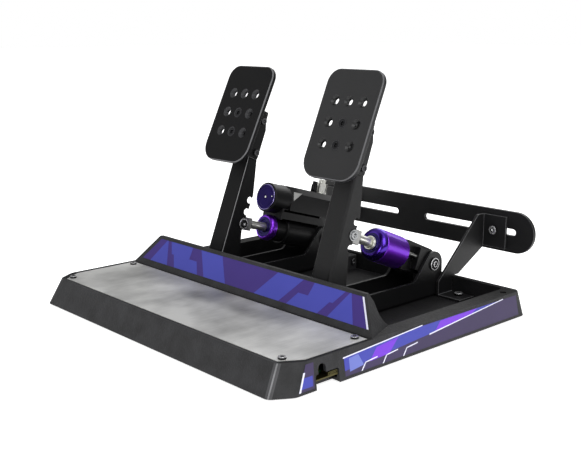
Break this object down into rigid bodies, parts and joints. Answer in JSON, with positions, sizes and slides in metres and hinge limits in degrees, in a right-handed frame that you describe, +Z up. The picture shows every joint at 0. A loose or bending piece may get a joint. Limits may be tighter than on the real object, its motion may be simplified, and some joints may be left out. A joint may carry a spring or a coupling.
{
  "type": "sim racing pedal set",
  "caption": "Two-pedal floor set for sim racing: moulded base with heel plate, folded arms, sprung throttle damper, brake cylinder and a slotted rear mounting plate.",
  "frame": {"origin": "floor under the middle of the set's outer box", "axes": "+X to the driver's right, +Y forward past the pedals to the rear mounting plate, +Z up"},
  "size_m": [0.4, 0.4102, 0.2614],
  "materials": {
    "moulded_black": "fine texture",
    "black_steel": "satin powder coat",
    "black_face": "satin powder coat",
    "black_casting": "satin anodised",
    "brushed_stainless": "brushed",
    "purple_anodised": "anodised",
    "polished_steel": "polished",
    "steel_screws": "zinc plated",
    "black_screws": "black oxide",
    "yellow_zinc": "yellow passivated",
    "bush_bronze": "sintered",
    "circuit_board": "solder mask",
    "rubber": "matt"
  },
  "bodies": {
    "base": {"base_shell": "moulded_black", "base_plate": "black_steel", "base_plate_screws": "steel_screws", "rubber_feet": "rubber", "heel_plate": "brushed_stainless", "heel_plate_screws": "black_screws", "port_bracket": "yellow_zinc", "usb_socket": "yellow_zinc", "controller_board": "circuit_board", "rear_box": "moulded_black", "rear_box_screw": "black_screws", "rear_plate": "black_steel", "rear_bracket_left": "black_steel", "rear_bracket_right": "black_steel", "tray_screws": "black_screws", "slot_bolts": "black_screws", "slot_washers": "steel_screws", "slot_nuts": "steel_screws", "brake_channel": "black_steel", "brake_pivot_bolt": "steel_screws", "brake_pivot_nut": "steel_screws", "brake_trunnion_bolt": "steel_screws", "brake_trunnion_nut": "steel_screws", "throttle_channel": "black_steel", "throttle_pivot_bolt": "steel_screws", "throttle_pivot_nut": "steel_screws", "throttle_trunnion_bolt": "steel_screws", "throttle_trunnion_nut": "steel_screws"},
    "brake_pedal": {"brake_arm": "black_steel", "brake_pivot_bushes": "bush_bronze", "brake_face_plate": "black_face", "brake_head_bracket": "black_steel", "brake_face_screws": "black_screws", "brake_face_nuts": "steel_screws", "brake_head_screws": "black_screws"},
    "throttle_pedal": {"throttle_arm": "black_steel", "throttle_pivot_bushes": "bush_bronze", "throttle_face_plate": "black_face", "throttle_head_bracket": "black_steel", "throttle_face_screws": "black_screws", "throttle_face_nuts": "steel_screws", "throttle_head_screws": "black_screws"},
    "brake_unit": {"brake_cylinder": "black_casting", "brake_gland_ring": "purple_anodised", "reservoir_cap": "purple_anodised", "pressure_sensor": "polished_steel", "brake_rubber_spring": "rubber"},
    "throttle_unit": {"throttle_nose_cap": "purple_anodised", "throttle_tube": "purple_anodised", "throttle_rear_block": "black_casting", "throttle_studs": "polished_steel", "throttle_rubber_spring": "rubber"},
    "brake_rod": {"brake_clevis": "polished_steel", "brake_clevis_pin": "polished_steel", "brake_rod": "polished_steel", "brake_piston": "black_casting"},
    "throttle_rod": {"throttle_clevis": "polished_steel", "throttle_clevis_pin": "polished_steel", "throttle_rod": "polished_steel", "throttle_piston": "black_casting"}
  },
  "joints": [
    {"name": "brake_pivot", "type": "hinge", "parent": "base", "child": "brake_pedal", "pos_m": [-0.0886, -0.0421, 0.023], "axis": [-1, 0, 0], "range_deg": [0, 8], "stiffness_Nm_per_rad": 150, "springref_deg": -2.86},
    {"name": "throttle_pivot", "type": "hinge", "parent": "base", "child": "throttle_pedal", "pos_m": [0.0845, -0.0421, 0.023], "axis": [-1, 0, 0], "range_deg": [0, 11], "stiffness_Nm_per_rad": 20, "springref_deg": -6.88},
    {"name": "brake_unit_swing", "type": "hinge", "parent": "base", "child": "brake_unit", "pos_m": [-0.0886, 0.1092, 0.0468], "axis": [1, 0, 0], "range_deg": [0, 1]},
    {"name": "throttle_unit_swing", "type": "hinge", "parent": "base", "child": "throttle_unit", "pos_m": [0.0845, 0.1092, 0.0468], "axis": [1, 0, 0], "range_deg": [0, 0.7]},
    {"name": "brake_rod_slide", "type": "slide", "parent": "brake_unit", "child": "brake_rod", "axis": [0, 0.961, -0.2766], "range_m": [0, 0.0091], "deforming": ["brake_rubber_spring"]},
    {"name": "throttle_rod_slide", "type": "slide", "parent": "throttle_unit", "child": "throttle_rod", "axis": [0, 0.9245, -0.3813], "range_m": [0, 0.0158], "deforming": ["throttle_rubber_spring"]}
  ],
  "couplings": [
    {"joint": "brake_unit_swing", "follows": "brake_pivot", "ratio": 0.12475},
    {"joint": "brake_rod_slide", "follows": "brake_pivot", "m_per_rad": 0.064646},
    {"joint": "throttle_unit_swing", "follows": "throttle_pivot", "ratio": 0.061173},
    {"joint": "throttle_rod_slide", "follows": "throttle_pivot", "m_per_rad": 0.081614}
  ]
}
